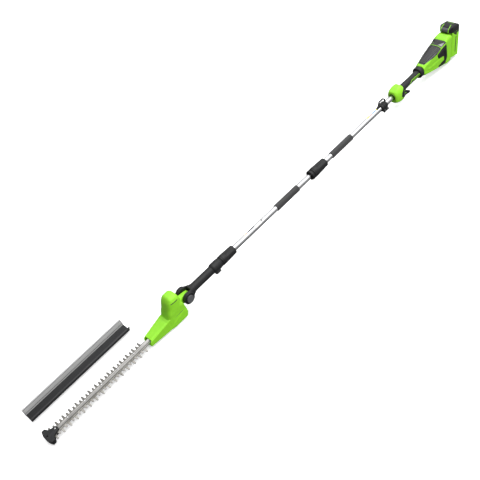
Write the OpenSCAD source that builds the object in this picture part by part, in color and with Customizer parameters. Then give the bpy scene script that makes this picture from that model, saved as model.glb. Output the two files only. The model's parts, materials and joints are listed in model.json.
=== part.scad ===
// Battery pole hedge trimmer.
// Every piece is drawn on the pole's axis: x runs from the first blade tooth back to the battery,
// y to the operator's right and z up.  in_place() then moves it so that the origin is the hang
// hole in the tip guard, at half the guard's thickness.

/* [Blade] */
// Distance between two long teeth
tooth_pitch = 34; // [30:1:36]
// Number of long teeth on each side
tooth_count = 15; // [11:1:15]
// Thickness of each blade
blade_t = 2.4; // [2:0.1:2.6]
// Half of each blade's stroke
half_stroke = 6; // [4:0.5:6]

/* [Head] */
// Width of the cutter head
head_w = 66; // [66:1:72]
// Teeth of the motor pinion
pinion_teeth = 9; // [9:1:9]
// Teeth of the drive gear
gear_teeth = 36; // [36:1:36]

/* [Pole] */
// Outer diameter of the aluminium tubes
tube_d = 25.4; // [25:0.1:25.6]
// Wall of the aluminium tubes
tube_wall = 1.5; // [1:0.1:2]
// Outer diameter of the foam sleeves
foam_d = 32.6; // [30:0.5:36]
// Length of each foam sleeve
foam_l = 150; // [120:5:170]

/* [Handle] */
// Outer diameter of the rear grip
grip_d = 36; // [34:0.5:37]
// Largest width of the power head
power_w = 76; // [76:1:80]

/* [Battery] */
// Width of the battery
battery_w = 76; // [74:1:76]
// Thickness of the battery
battery_t = 62; // [60:1:64]
// Lean of the battery's long axis from upright
battery_lean = 12; // [10:1:14]

/* [Hidden] */
$fn = 64;

// Places along the pole
hang_x = -24;
blade_z = -50;
gap = 0.2;
far = 500;
tube_r = tube_d / 2;
tube_ri = tube_r - tube_wall;

// Blade and its drive
body_hw = 14;
long_hw = 36.5;
short_hw = 28;
bolt_x = [for (i = [0:4]) 78 + 88.5 * i];
bolt_r = 2;
bar_top = blade_z + blade_t + 6.4;
guard_t = 22;
rib_h = 1.5;
guard_top = blade_z + guard_t / 2 + rib_h;
gear_x = 631;
gear_module = 1.5;
gear_r = gear_teeth * gear_module / 2;
pinion_r = pinion_teeth * gear_module / 2;
motor_x = gear_x + gear_r + pinion_r;
gear_z = -30;
motor_r = 19.6;
motor_top = 34;
cam_r = 8;
yoke_x = cam_r + 2 * half_stroke + 0.6;
yoke_y = cam_r + half_stroke + 0.6;

// Head and its pivot
head_hw = head_w / 2;
head_bottom = -76;
pivot_x = 748;
ear_hw = 14.3;
ear_r = 22;
arm_in = 14.8;
arm_out = 33;
arm_r = 27;
pin_r = 6;

// Pole sections
fork_r = 19;
fork_end = 908;
socket_x0 = 925;
mid_x0 = 930;
front_nut_x0 = 965;
front_nut_x1 = 1048;
front_foam_x = 1329;
rear_ferrule_x = 1566;
mid_x1 = 1585;
rear_x0 = 1587;
rear_nut_x0 = 1583;
rear_nut_x1 = 1675;
rear_foam_x = 1721;
tube_end = 2330;
thread_r = 19;
socket_r = tube_r + 0.05;

// Handle
clamp_x0 = 2104;
clamp_x1 = 2144;
clamp_bolt_x = [2113, 2132];
house_x0 = 2198;
house_x1 = 2294;
house_hw = 33;
barrel_x1 = 2260;
grip_r = grip_d / 2;
grip_x1 = 2412;
collar_x0 = 2405;
collar_x1 = 2433;
trigger_x = 2290;
trigger_z = -24;
power_hw = power_w / 2;
lock_x = 2240;
lock_z = 6;

// Battery, in its own leaning frame: x from its front to its rear, z along its length
battery_x = 2648;
battery_z = -52;
case_l = 132;
cap_l = 168;
dock_t = 9;

// Blade sheath, on the same floor as the head
sheath_y = 161;
sheath_x0 = -23;
sheath_x1 = 512;

// Colours
lime = [0.49, 0.83, 0.20];
black = [0.12, 0.12, 0.13];
grey = [0.35, 0.36, 0.38];
steel = [0.62, 0.62, 0.60];

// ---------- helpers ----------
function unit(v) = v / norm(v);
function xy(p) = [p[0], p[1]];
function turn(a, b) = let (d = b - a) d > 180 ? d - 360 : d < -180 ? d + 360 : d;

// Points of the arc that rounds corner b between a and c
function fillet(a, b, c, r, n = 6) =
    let (u = unit(a - b), v = unit(c - b), half = acos(u * v) / 2)
    let (centre = b + unit(u + v) * r / sin(half), d = r / tan(half))
    let (s = b + u * d - centre, e = b + v * d - centre)
    let (a0 = atan2(s[1], s[0]), sweep = turn(a0, atan2(e[1], e[0])))
    [for (i = [0:n]) centre + r * [cos(a0 + sweep * i / n), sin(a0 + sweep * i / n)]];

// Outline from corners [x, y, radius]
function rounded(p) = let (n = len(p))
    [for (i = [0:n - 1]) each p[i][2] == 0 ? [xy(p[i])]
        : fillet(xy(p[(i + n - 1) % n]), xy(p[i]), xy(p[(i + 1) % n]), p[i][2])];

// Both halves of an outline that is symmetric about y = 0, given its +y half
function both_sides(half) = concat(half,
    [for (i = [len(half) - 1:-1:0]) if (half[i][1] != 0) [half[i][0], -half[i][1], half[i][2]]]);

module in_place() { translate([-hang_x, 0, -blade_z]) children(); }
module slab(a, b) { translate(a) cube(b - a); }
module rod(r, x0, x1, y = 0, z = 0) { translate([x0, y, z]) rotate([0, 90, 0]) cylinder(r = r, h = x1 - x0); }
module cross(r, y0, y1, x = 0, z = 0) { translate([x, y1, z]) rotate([90, 0, 0]) cylinder(r = r, h = y1 - y0); }
module post(r, z0, z1, x = 0, y = 0) { translate([x, y, z0]) cylinder(r = r, h = z1 - z0); }

// Outline in x and z, between two values of y
module side_shape(p, y0, y1) {
    translate([0, y1, 0]) rotate([90, 0, 0]) linear_extrude(y1 - y0) polygon(rounded(p));
}
// Outline in x and y, between two values of z
module plan_shape(p, z0, z1) {
    translate([0, 0, z0]) linear_extrude(z1 - z0) polygon(rounded(p));
}
// Outline in y and z, between two values of x
module end_shape(p, x0, x1) {
    translate([x0, 0, 0]) rotate([90, 0, 90]) linear_extrude(x1 - x0) polygon(rounded(p));
}
// Profile [x, radius] turned about the pole's axis
module turned(p) {
    rotate([0, 90, 0]) rotate([0, 0, 90]) rotate_extrude() polygon([for (q = p) [q[1], q[0]]]);
}
module left_half() { intersection() { children(); slab([-far, -far, -far], [6 * far, 0, far]); } }
module right_half() { intersection() { children(); slab([-far, 0, -far], [6 * far, far, far]); } }

// Coil spring along z, as a tube swept round its helix
module spring(r, wire, turns, length) {
    rings = turns * 12;
    sides = 6;
    points = [for (i = [0:rings]) for (k = [0:sides - 1])
        let (t = i * 30, s = k * 360 / sides, q = r + wire / 2 * cos(s))
        [q * cos(t), q * sin(t), length * i / rings + wire / 2 * sin(s)]];
    walls = [for (i = [0:rings - 1]) for (k = [0:sides - 1])
        [i * sides + k, (i + 1) * sides + k, (i + 1) * sides + (k + 1) % sides, i * sides + (k + 1) % sides]];
    polyhedron(points, concat([[for (k = [0:sides - 1]) k]], walls,
        [[for (k = [sides - 1:-1:0]) rings * sides + k]]), convexity = 10);
}

// ---------- cutter head ----------
head_side = [[505, -63, 4], [505, -43, 6], [522, -36, 8], [612, -16, 12], [630, 8, 20], [656, 75, 20],
    [708, 75, 18], [717, -48, 10], [708, -70, 8], [655, head_bottom, 12], [622, -67, 10]];
head_plan = [[505, 24, 6], [612, head_hw - 3, 20], [640, head_hw, 20], [720, head_hw, 3]];
head_end = [[head_hw, head_bottom, 12], [head_hw, 75, 22], [-head_hw, 75, 22], [-head_hw, head_bottom, 12]];

module head_block() {
    intersection() {
        side_shape(head_side, -head_hw, head_hw);
        plan_shape(both_sides(head_plan), head_bottom, 80);
        end_shape(head_end, 500, 720);
    }
}
// The nose and gearbox, with the tower on it whose sloping front edges are rounded
module head_solid() {
    tower = [[0, head_hw, 14], [160, head_hw, 0]];
    intersection() {
        head_block();
        slab([500, -far, -far], [720, far, -15]);
    }
    intersection() {
        head_block();
        slab([500, -far, -24], [720, far, far]);
        translate([630, 0, 8]) rotate([0, 21.2, 0]) plan_shape(both_sides(tower), -200, 200);
    }
}

// Room for the blades' tails and the yokes, the gears and the motor
module head_cavity() {
    slab([518, -20, -56], [662, 20, -40]);
    slab([605, -25, -41], [656, 25, -35.9]);
    post(29.8, -41, gear_z + 8.5, gear_x);
    post(9, -41, -3, motor_x);
    post(motor_r + 0.4, -4, motor_top + 2, motor_x);
    slab([motor_x - 8, -8, -41], [motor_x + 8, 8, -3]);
    slab([495, -20.5, -55.5], [525, 20.5, -39.5]);
}

module head_half() {
    difference() {
        union() {
            head_solid();
            slab([705, -ear_hw, -18], [pivot_x - 4, ear_hw, 18]);
            cross(ear_r, -ear_hw, ear_hw, pivot_x);
        }
        head_cavity();
        cross(pin_r + 0.06, -far, far, pivot_x);
        cross(13, -ear_hw - 1, -ear_hw + 4, pivot_x);
        slab([659, -far, 51.5], [695, 1.2 - head_hw, 54]);
        slab([659, head_hw - 1.2, 51.5], [695, far, 54]);
        for (p = head_screw_spots) cross(2.6, -18, far, p[0], p[1]);
    }
}

module head_shell_left() { color(lime) in_place() left_half() head_half(); }
module head_shell_right() { color(lime) in_place() right_half() head_half(); }

// Four cross screws that close the head, from the right
head_screw_spots = [[540, -60.2], [590, -61.6], [700, -58], [696, 60]];
module head_screws() {
    color(steel) in_place() for (p = head_screw_spots) cross(2.6, -18, 20, p[0], p[1]);
}

// Steel plate between the gears and the blades, with the boss of the gear's bearing
module gearbox_plate() {
    color(steel) in_place() difference() {
        union() {
            slab([605.4, -24.6, -39.8], [655.6, 24.6, -36]);
            post(13, -39.8, -30, gear_x);
        }
        post(9, -far, far, gear_x);
    }
}

module motor_can() {
    color(grey) in_place() difference() {
        post(motor_r, -2, motor_top, motor_x);
        post(4.2, -3, 3, motor_x);
        post(motor_r - 2, 1, motor_top - 3, motor_x);
        post(4.2, motor_top - 4, motor_top + 1, motor_x);
    }
}

module gear_bearing() {
    color(steel) in_place() difference() {
        post(9, -39, -30, gear_x);
        post(4.05, -40, -29, gear_x);
    }
}

// Toothed ring in the ear that the tilt button locks
module tilt_ratchet() {
    color(steel) in_place() difference() {
        cross(13, -ear_hw, -ear_hw + 4, pivot_x);
        cross(9.6, -ear_hw - 1, -ear_hw + 5, pivot_x);
        for (a = [0:30:330]) rotate_about(pivot_x, a)
            slab([pivot_x - 1.6, -ear_hw - 1, 8], [pivot_x + 1.6, -ear_hw + 5, 11]);
    }
}
module rotate_about(x, a) { translate([x, 0, 0]) rotate([0, a, 0]) translate([-x, 0, 0]) children(); }

// Stiff bar over the blades; its ridge carries the bolts
module blade_bar() {
    z0 = blade_z + blade_t + gap;
    section = [[9, z0, 0], [8.5, z0 + 2.5, 0.8], [4.8, bar_top, 1], [-4.8, bar_top, 1], [-8.5, z0 + 2.5, 0.8],
        [-9, z0, 0]];
    color(steel) in_place() difference() {
        end_shape(section, 27, 606);
        for (x = bolt_x) post(bolt_r, -far, far, x);
    }
}

// Bolts that hold the bar, the blades and the washers together, and the guard's own screw
module blade_bolts() {
    color("silver") in_place() {
        for (x = bolt_x) {
            post(bolt_r, blade_z - blade_t - 2.2, bar_top, x);
            post(4.4, bar_top, bar_top + 2.6, x, $fn = 6);
            post(4.6, blade_z - blade_t - 2.6, blade_z - blade_t - gap, x);
        }
        post(3.4, guard_top, guard_top + 1.6, 16);
        post(bolt_r, guard_top - 6, guard_top, 16);
    }
}

// Blunt black guard over the blades' front end, with the hang hole
module tip_guard() {
    z0 = blade_z - guard_t / 2;
    z1 = blade_z + guard_t / 2;
    fan = [[-40, 37, 0], [-14, 37, 4], [-8, 27, 3], [-8, 0, 0]];
    neck = [[-12, 26, 0], [0, 17, 5], [26.5, 9, 3]];
    color(black) in_place() difference() {
        union() {
            intersection() {
                plan_shape(both_sides(fan), z0, z1);
                post(80.6, z0, z1, 44.6, $fn = 128);
            }
            plan_shape(both_sides(neck), z0, z1);
            slab([-31, -7, z1 - 1], [26, 7, z1 + rib_h]);
        }
        post(3.5, -far, far, hang_x);
        slab([-16, -far, blade_z - blade_t - 0.5], [32, far, blade_z + blade_t + 0.4]);
        post(bolt_r, guard_top - 6, guard_top + 1, 16);
    }
}

// ---------- motor rotor and drive gear ----------
module gear_blank(teeth, r, t) {
    points = [for (i = [0:teeth - 1]) for (q = [[-0.27, -1.1], [-0.14, 0.9], [0.14, 0.9], [0.27, -1.1]])
        let (a = (i + q[0]) * 360 / teeth, k = r + q[1] * gear_module) k * [cos(a), sin(a)]];
    linear_extrude(t) polygon(points);
}

module motor_shaft() {
    color(steel) in_place() {
        post(2.5, gear_z - 1, motor_top - 0.5, motor_x);
        post(motor_r - 3.5, 4, motor_top - 6, motor_x);
    }
}

module pinion() {
    color(steel) in_place() difference() {
        translate([motor_x, 0, gear_z]) rotate(180 / pinion_teeth + 180) gear_blank(pinion_teeth, pinion_r, 9);
        post(2.5, gear_z - 1, gear_z + 10, motor_x);
    }
}

module drive_gear() {
    color(steel) in_place() difference() {
        translate([gear_x, 0, gear_z + 0.5]) gear_blank(gear_teeth, gear_r, 7);
        post(4, -far, far, gear_x);
        for (a = [30:60:330]) translate([gear_x, 0, 0]) rotate(a) post(4, -far, far, 16);
    }
}

// Gear shaft with two eccentric discs, half a turn apart, that drive the blades
module eccentric_cams() {
    color(steel) in_place() {
        post(4, -53.5, gear_z + 8, gear_x);
        post(cam_r, blade_z + 0.1, blade_z + blade_t - 0.1, gear_x, half_stroke);
        post(cam_r, blade_z - blade_t + 0.1, blade_z - 0.1, gear_x, -half_stroke);
    }
}

// ---------- blades ----------
function tooth(x, hw, root, tip) = [[x - root, body_hw], [x - tip, hw - tip * 0.7], [x - tip * 0.5, hw],
    [x + tip * 0.5, hw], [x + tip, hw - tip * 0.7], [x + root, body_hw]];

// One blade: its teeth on both sides from x0, bolt slots, and the yoke round its eccentric
module blade(x0, teeth, hw, root, tip, z0, x_front) {
    edges = [for (i = [0:teeth - 1]) each tooth(x0 + i * tooth_pitch, hw, root, tip)];
    yoke_x0 = gear_x - yoke_x - 4;
    edge = concat([[x_front, body_hw - 4], [x_front + 4, body_hw]], edges, [[500, body_hw], [504, 12],
        [yoke_x0, 12],
        [yoke_x0, yoke_y + 4], [gear_x + yoke_x + 4, yoke_y + 4]]);
    translate([0, 0, z0]) linear_extrude(blade_t - 0.1) difference() {
        polygon(concat(edge, [for (i = [len(edge) - 1:-1:0]) [edge[i][0], -edge[i][1]]]));
        translate([gear_x - yoke_x, -yoke_y]) square([2 * yoke_x, 2 * yoke_y]);
        for (x = bolt_x) translate([x, 0]) {
            square([2 * half_stroke + 0.6, 2 * bolt_r + 0.6], center = true);
            for (s = [-1, 1]) translate([s * (half_stroke + 0.3), 0]) circle(r = bolt_r + 0.3);
        }
    }
}

module upper_blade() {
    color("lightgrey") in_place()
        blade(tooth_pitch / 2 + 1, tooth_count - 1, short_hw, 5.4, 3.6, blade_z + 0.05, -5);
}
module lower_blade() {
    color("lightgrey") in_place()
        blade(0, tooth_count, long_hw, 6, 3.4, blade_z - blade_t + 0.05, -8);
}

// ---------- fork, tilt pivot ----------
module fork() {
    side = [[pivot_x - 2, -arm_r, 0], [pivot_x + 4, -arm_r, 6], [786, -fork_r, 24], [808, -fork_r, 0],
        [808, fork_r, 0], [786, fork_r, 24], [pivot_x + 4, arm_r, 6], [pivot_x - 2, arm_r, 0]];
    plan = [[pivot_x - 2, arm_out, 0], [pivot_x + 8, arm_out, 10], [790, fork_r + 1, 24], [808, fork_r, 0]];
    color(black) in_place() difference() {
        union() {
            intersection() {
                side_shape(side, -arm_out, arm_out);
                plan_shape(both_sides(plan), -arm_r, arm_r);
                turned([[pivot_x - 3, 0], [pivot_x - 3, 43], [pivot_x + 8, 38], [pivot_x + 24, 30.5], [786, 24],
                    [796, fork_r + 0.8], [808, fork_r], [808, 0]]);
            }
            cross(arm_r, -arm_out, arm_out, pivot_x);
            rod(fork_r, 807, fork_end);
        }
        slab([pivot_x - 40, -arm_in, -40], [pivot_x + 28, arm_in, 40]);
        cross(pin_r, -far, far, pivot_x);
        cross(17.4, -far, -26.5, pivot_x);
        cross(12.8, -27, -arm_in - 2.4, pivot_x);
        cross(9, -20, -arm_in + 1, pivot_x);
        rod(5, pivot_x + 40, fork_end + 1);
    }
}

// Pivot pin, with its flat round head on the right
module pivot_pin() {
    color(steel) in_place() {
        cross(pin_r, -24, arm_out, pivot_x);
        cross(13, arm_out, arm_out + 2.4, pivot_x);
    }
}

// Lock button on the left: press it to free the tilt
module pivot_button() {
    color(grey) in_place() difference() {
        union() {
            cross(17, -38.4, -31.4, pivot_x);
            cross(8.6, -32, -arm_in + 0.2 - 4.4, pivot_x);
        }
        cross(pin_r + 0.3, -28.5, 0, pivot_x);
        cross(13.5, -39, -37.6, pivot_x);
    }
    color(grey) in_place() cross(12.6, -38.2, -37.4, pivot_x);
}

module button_spring() {
    color("silver") in_place() translate([pivot_x, -18.2, 0]) rotate([90, 0, 0]) spring(10.6, 1.4, 4, 5.8);
}

// Threaded socket on the fork's tube; a rounded lug on its lower left
module front_ferrule() {
    color(black) in_place() difference() {
        union() {
            turned([[fork_end, 0], [fork_end, fork_r], [917, 23.4], [953, 23.4], [955, 21.5], [962, 21.5],
                [962, thread_r], [985, thread_r], [985, 0]]);
            translate([930, 0, 0]) rotate([-40, 0, 0]) intersection() {
                slab([-13, -14, -32], [9, 14, 0]);
                rod(31.5, -13, 9);
            }
        }
        rod(socket_r, socket_x0, 990);
        rod(5, fork_end - 1, 930);
    }
}

// ---------- pole sections ----------
// Captive nut: wide threaded mouth towards the tip, tapering to the tube, with flat grip panels
module coupling_nut(x0, x1, r0, r1, shoulder) {
    difference() {
        turned([[x0, 0], [x0, r0 - 1.5], [x0 + 1.5, r0], [x0 + 5, r0], [x0 + 6, r0 - 1.4], [x0 + 9, r0 - 1.4],
            [x0 + 10, r0], [x0 + 22, r0], [x1 - 2, r1], [x1, r1 - 2], [x1, 0]]);
        rod(thread_r + 0.3, x0 - 1, shoulder);
        rod(tube_r + 0.3, x0 - 1, x1 + 1);
        for (a = [30:60:330]) rotate([a, 0, 0])
            slab([x0 + 27, -6.5, r1 - 0.6], [x1 - 8, 6.5, r0 + 5]);
    }
}
module front_coupling_nut() {
    color(black) in_place() coupling_nut(front_nut_x0, front_nut_x1, 23, 20.6, 1003);
}
module rear_coupling_nut() {
    color(black) in_place() coupling_nut(rear_nut_x0, rear_nut_x1, 24, 21, 1658);
}

module pole_tube(x0, x1) {
    color("silver") in_place() difference() {
        rod(tube_r, x0, x1);
        rod(tube_ri, x0 - 1, x1 + 1);
    }
}
module mid_tube() { pole_tube(mid_x0, mid_x1); }
module rear_tube() { pole_tube(rear_x0, tube_end); }

module foam_sleeve(x0) {
    color(black) in_place() difference() {
        turned([[x0, 0], [x0, foam_d / 2 - 1.5], [x0 + 1.5, foam_d / 2], [x0 + foam_l - 1.5, foam_d / 2],
            [x0 + foam_l, foam_d / 2 - 1.5], [x0 + foam_l, 0]]);
        rod(tube_r, x0 - 1, x0 + foam_l + 1);
    }
}
module front_foam_grip() { foam_sleeve(front_foam_x); }
module rear_foam_grip() { foam_sleeve(rear_foam_x); }

// Ring on a tube that its coupling nut pulls against
module stop_collar(x0) {
    color(grey) in_place() difference() {
        rod(17.5, x0, x0 + 9);
        rod(tube_r, x0 - 1, x0 + 10);
    }
}
module front_stop_collar() { stop_collar(992); }
module rear_stop_collar() { stop_collar(1647); }

// Threaded socket on the rear end of the middle tube
module rear_ferrule() {
    color(black) in_place() difference() {
        turned([[rear_ferrule_x, 0], [rear_ferrule_x, 21.6], [rear_ferrule_x + 2.4, 24],
            [rear_ferrule_x + 13, 24], [rear_ferrule_x + 14, 22], [rear_ferrule_x + 15.5, 22],
            [rear_ferrule_x + 15.5, thread_r], [1642, thread_r], [1642, 0]]);
        rod(tube_r, rear_ferrule_x - 1, mid_x1);
        rod(socket_r, mid_x1 - 0.5, 1650);
        turned([[rear_ferrule_x - 1, 0], [rear_ferrule_x - 1, 21], [rear_ferrule_x + 6, tube_r + 1],
            [rear_ferrule_x + 6, 0]]);
    }
}

// Two-core supply cable inside each tube, with its plug block at the front end
module inner_wire(x0, x1) {
    color("dimgray") in_place() {
        rod(3.2, x0 + 28, x1);
        rod(tube_ri, x0 + 2, x0 + 28);
    }
}
module mid_wire() { inner_wire(mid_x0, mid_x1 - 1); }
module rear_wire() { inner_wire(rear_x0, tube_end - 4); }

// ---------- strap clamp ----------
module clamp_ring() {
    difference() {
        union() {
            rod(16.8, clamp_x0, clamp_x1);
            for (x = [clamp_x0, clamp_x0 + 14, clamp_x0 + 28]) rod(18.6, x, x + 8);
            for (x = clamp_bolt_x) slab([x - 7, -28.5, -6], [x + 7, 0, 6]);
            rod(3, clamp_x0 + 4, clamp_x1 - 4, 17.5);
        }
        rod(tube_r, clamp_x0 - 1, clamp_x1 + 1);
        slab([clamp_x0 - 1, -far, -0.4], [clamp_x1 + 1, far, 0.4]);
        for (x = clamp_bolt_x) post(2.2, -far, far, x, -23.5);
    }
}
module strap_loop() {
    outer = [[2094, 14, 3], [2091, 30, 6], [2100, 43, 7], [2132, 43, 7], [2144, 30, 6], [2144, 14, 3]];
    inner = [[2099, 20, 3], [2097, 30, 4], [2103, 38, 4], [2130, 38, 4], [2138.5, 29, 4], [2138.5, 20, 3]];
    difference() {
        side_shape(outer, -3.2, 3.2);
        side_shape(inner, -4, 4);
        rod(16, 2080, 2160);
    }
}
module strap_clamp_upper() {
    color(black) in_place() rotate([40, 0, 0]) {
        intersection() {
            clamp_ring();
            slab([2000, -far, 0], [2200, far, far]);
        }
    }
    color(black) in_place() {
        strap_loop();
        side_shape([[2078, tube_r + 0.6, 1], [2078, 18, 3], [2092, 22, 3], [2106, 21, 0],
            [2106, tube_r + 0.6, 0]], -5, 5);
    }
}
module strap_clamp_lower() {
    color(black) in_place() rotate([40, 0, 0]) intersection() {
        clamp_ring();
        slab([2000, -far, -far], [2200, far, 0]);
    }
}
module clamp_bolts() {
    color(steel) in_place() rotate([40, 0, 0])
        for (x = clamp_bolt_x) {
            post(2.2, -9, 6, x, -23.5);
            post(4, 6, 8.4, x, -23.5);
            post(4.2, -9.6, -6, x, -23.5, $fn = 6);
        }
}

// ---------- trigger housing and rear grip ----------
module housing_solid() {
    side = [[house_x0, -34, 8], [house_x0, 28, 10], [2226, 38, 30], [2256, 42, 8], [barrel_x1, 26, 4],
        [barrel_x1 - 6, -20, 10], [2250, -44, 10], [2216, -50, 10]];
    end = [[house_hw, -50, 30], [house_hw, 42, 31], [-house_hw, 42, 31], [-house_hw, -50, 30]];
    bracket = [[2236, -10, 0], [2236, -46, 4], [2276, -51, 6], [house_x1, -40, 6], [house_x1, -10, 0]];
    intersection() {
        side_shape(side, -house_hw, house_hw);
        end_shape(end, house_x0 - 2, house_x1 + 2);
        turned([[house_x0 - 1, 0], [house_x0 - 1, 29], [2203, 36], [2214, 41], [2230, 45], [2250, 45],
            [barrel_x1 + 1, 39], [barrel_x1 + 1, 0]]);
    }
    side_shape(bracket, -13, 13);
}
module housing_half() {
    difference() {
        housing_solid();
        rod(grip_r, 2216, house_x1 + 2);
        rod(17, house_x0 - 1, 2205);
        rod(20, 2204, 2216);
        slab([2230, -8, -45], [house_x1 + 2, 8, 0]);
        slab([2280, -8, -53], [house_x1 + 2, 8, 0]);
        cross(8, -far, far, trigger_x, trigger_z);
        cross(7.3, 20, far, lock_x, lock_z);
        for (p = screw_spots) cross(2.6, -16, far, p[0], p[1]);
    }
}
screw_spots = [[2222, -38], [2240, 30]];
module trigger_housing_left() { color(lime) in_place() left_half() housing_half(); }
module trigger_housing_right() { color(lime) in_place() right_half() housing_half(); }

// Cross screws of the trigger housing and the power head, set in from the right
module handle_screws() {
    color(steel) in_place() {
        for (p = screw_spots) cross(2.6, -16, 18, p[0], p[1]);
        for (p = power_screws) cross(2.6, -16, 20, p[0], p[1]);
    }
}

module pole_bushing() {
    color(black) in_place() difference() {
        turned([[2204, 0], [2204, 18], [2206, 20], [2216, 20], [2216, 0]]);
        rod(tube_r, 2200, 2218);
    }
}

module grip_half() {
    difference() {
        turned([[2217, 0], [2217, grip_r], [2300, grip_r], [2350, grip_r - 1], [2395, grip_r],
            [grip_x1, grip_r + 1], [grip_x1, 0]]);
        rod(tube_r, 2216, tube_end + 1);
        rod(11, tube_end, grip_x1 + 1);
        slab([2230, -8, -grip_r - 1], [2299, 8, -8]);
    }
}
module grip_shell_left() { color(black) in_place() left_half() grip_half(); }
module grip_shell_right() { color(black) in_place() right_half() grip_half(); }

// Round flange between the grip and the power head
module grip_collar() {
    color(black) in_place() difference() {
        turned([[collar_x0 + 8, 0], [collar_x0 + 8, 19.4], [collar_x0 + 2, 22], [collar_x0 + 2, 26],
            [collar_x0 + 6, 28.5],
            [collar_x1 - 5, 28.5], [collar_x1, 26], [collar_x1, 0]]);
        rod(11, collar_x0, collar_x1 + 1);
    }
}

module switch_box() {
    color(grey) in_place() slab([2236, -7, -44.8], [2259, 7, -39.9]);
}

module trigger_lever() {
    side_shape([[2281, -30, 3], [2296, -25, 4], [2334, -50, 4], [2330, -58, 3], [2300, -52, 8], [2281, -44, 4]],
        -6.8, 6.8);
}
// Trigger: swings up towards the grip about the pin bosses at its front
module trigger() {
    color(black) in_place() {
        trigger_lever();
        cross(7, -6.8, 6.8, trigger_x, trigger_z);
        slab([2252, -6.8, -31], [trigger_x, 6.8, -26]);
    }
}
module trigger_spring() {
    color("silver") in_place() translate([2266, 0, -44.4]) spring(3.4, 1, 6, 12.8);
}
module lock_off_button() {
    color(black) in_place() {
        cross(7, 23.4, 35.4, lock_x, lock_z);
        cross(5, 35.4, 36.4, lock_x, lock_z);
    }
}

// ---------- power head ----------
power_top = [[collar_x1 + 0.5, 27], [2444, 31], [2530, 53], [2612, 67], [2622, 71], [2650, 79]];
power_bottom = [[2640, -66], [2580, -68], [2532, -50], [2446, -31], [collar_x1 + 0.5, -26]];
power_screws = [[2474, -28], [2576, -56], [2630, 56]];
function flank(x) = x < 2600 ? 27 + (power_hw - 27) * (x - collar_x1) / (2600 - collar_x1) : power_hw;

module power_solid() {
    side = concat([for (i = [0:len(power_top) - 1]) [power_top[i][0], power_top[i][1], i == 0 || i == 5 ? 2 : 8]],
        [[2668, 70, 4], [2643, -58, 4]],
        [for (i = [0:len(power_bottom) - 1]) [power_bottom[i][0], power_bottom[i][1], i == 4 ? 2 : 6]]);
    plan = [[collar_x1 + 0.5, 26, 3], [2444, flank(2444), 10], [2600, power_hw, 20], [2672, power_hw, 2]];
    end = [[power_hw, -70, 16], [power_hw, 80, 22], [-power_hw, 80, 22], [-power_hw, -70, 16]];
    round_off = [[collar_x1, 0], [collar_x1, 29], [2446, 35], [2530, 54], [2600, 68], [2640, 82],
        [2680, 90], [2680, 0]];
    intersection() {
        side_shape(side, -power_hw, power_hw);
        plan_shape(both_sides(plan), -70, 80);
        end_shape(end, collar_x1, 2680);
        turned(round_off);
    }
}

// Black cap that wraps over the top of the power head
module vent_cover_region() {
    side_shape([[2446, 90, 0], [2446, 30, 0], [2484, 34, 20], [2537, 37, 20], [2572, 52, 20], [2613, 60, 0],
        [2613, 90, 0]], -power_hw - 5, power_hw + 5);
}

// Black flank panel on one side (s = -1 left, 1 right)
module side_vent_shape(s) {
    side = [[2542, 28, 3], [2600, 46, 4], [2614, 34, 8], [2612, -22, 8], [2594, -48, 5], [2524, -40, 3],
        [2560, -34, 3],
        [2588, -26, 4], [2589, -2, 4], [2548, 6, 3]];
    plan = [[2520, flank(2520) - 4, 0], [2520, flank(2520) + 1.2, 0], [2600, power_hw + 1.2, 0],
        [2616, power_hw + 1.2, 0], [2616, power_hw - 4, 0], [2600, power_hw - 4, 0]];
    intersection() {
        side_shape(side, -power_hw - 2, power_hw + 2);
        plan_shape([for (p = plan) [p[0], s * p[1], p[2]]], -60, 50);
    }
}

module in_battery() { translate([battery_x, 0, battery_z]) rotate([0, battery_lean, 0]) children(); }

module power_half() {
    difference() {
        power_solid();
        vent_cover_region();
        side_vent_shape(-1);
        side_vent_shape(1);
        // room for the board and the wires, and the bay that the dock and the battery stand in
        slab([2470, -20, -20], [2600, 20, 24]);
        rod(11, collar_x1 - 1, 2480);
        in_battery() slab([-dock_t - 3, -33, 8], [-dock_t, 33, 112]);
        in_battery() slab([-dock_t, -36, -far], [far, 36, far]);
        in_battery() slab([-0.4, -far, -far], [far, far, far]);
        for (p = power_screws) cross(2.6, -16, far, p[0], p[1]);
    }
}
module powerhead_shell_left() { color(lime) in_place() left_half() power_half(); }
module powerhead_shell_right() { color(lime) in_place() right_half() power_half(); }
module top_vent_cover() {
    color(black) in_place() intersection() {
        power_solid();
        vent_cover_region();
    }
}
module side_vent_left() { color(black) in_place() side_vent_shape(-1); }
module side_vent_right() { color(black) in_place() side_vent_shape(1); }

module control_board() {
    color("darkgreen") in_place() {
        slab([2478, -18, -6], [2592, 18, -4.4]);
        for (x = [2490, 2525, 2560]) slab([x, -12, -4.4], [x + 20, 12, 8]);
    }
}

// Dock plate with two rails that the battery slides down on
module battery_dock() {
    color(black) in_place() in_battery() {
        slab([-dock_t, -35.6, 2], [-4, 35.6, 118]);
        for (s = [-1, 1]) slab([-4, s * 24 - 4, 6], [5, s * 24 + 4, 112]);
    }
}
module battery_terminals() {
    color("gold") in_place() in_battery() for (y = [-9, -3, 3, 9]) slab([-4, y - 0.6, 6], [5, y + 0.6, 24]);
}

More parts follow.
